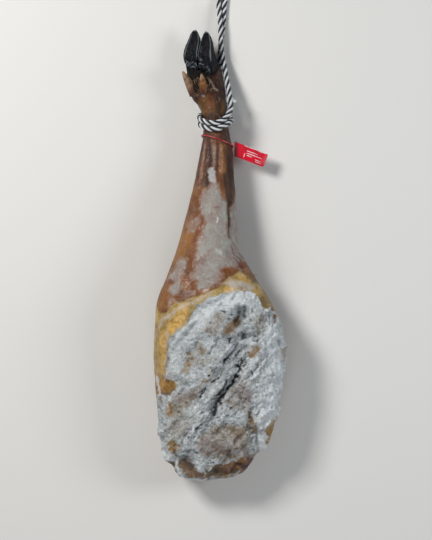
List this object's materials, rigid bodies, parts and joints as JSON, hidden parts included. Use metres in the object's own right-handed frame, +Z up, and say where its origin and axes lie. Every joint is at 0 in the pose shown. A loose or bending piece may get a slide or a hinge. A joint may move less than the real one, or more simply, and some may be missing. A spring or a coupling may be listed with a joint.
{
  "type": "cured ham",
  "caption": "Whole cured ham on the bone lying meat face up, with its hoof, a striped cord hitched round the shank and a plain red tag on a thin strap.",
  "frame": {"origin": "on the ground under the middle of the ham's own box, its cord left out", "axes": "+Y from the butt end to the hoof, +Z up out of the meat face, +X to the right of the meat face"},
  "size_m": [0.2309, 0.9305, 0.1323],
  "materials": {
    "ham": "cured meat with a pale mould crust, yellow fat and brown skin",
    "hoof": "black horn, half dull",
    "dewclaw": "amber horn with growth rings",
    "cord": "black and white twisted strands",
    "tag": "satin red plastic"
  },
  "bodies": {
    "root": {"ham": "ham", "claw_left": "hoof", "claw_right": "hoof", "dewclaw_left": "dewclaw", "dewclaw_right": "dewclaw", "rope_wrap": "cord", "rope_free": "cord", "rope_bead": "cord", "tag_strap": "tag", "tag": "tag"}
  },
  "joints": []
}
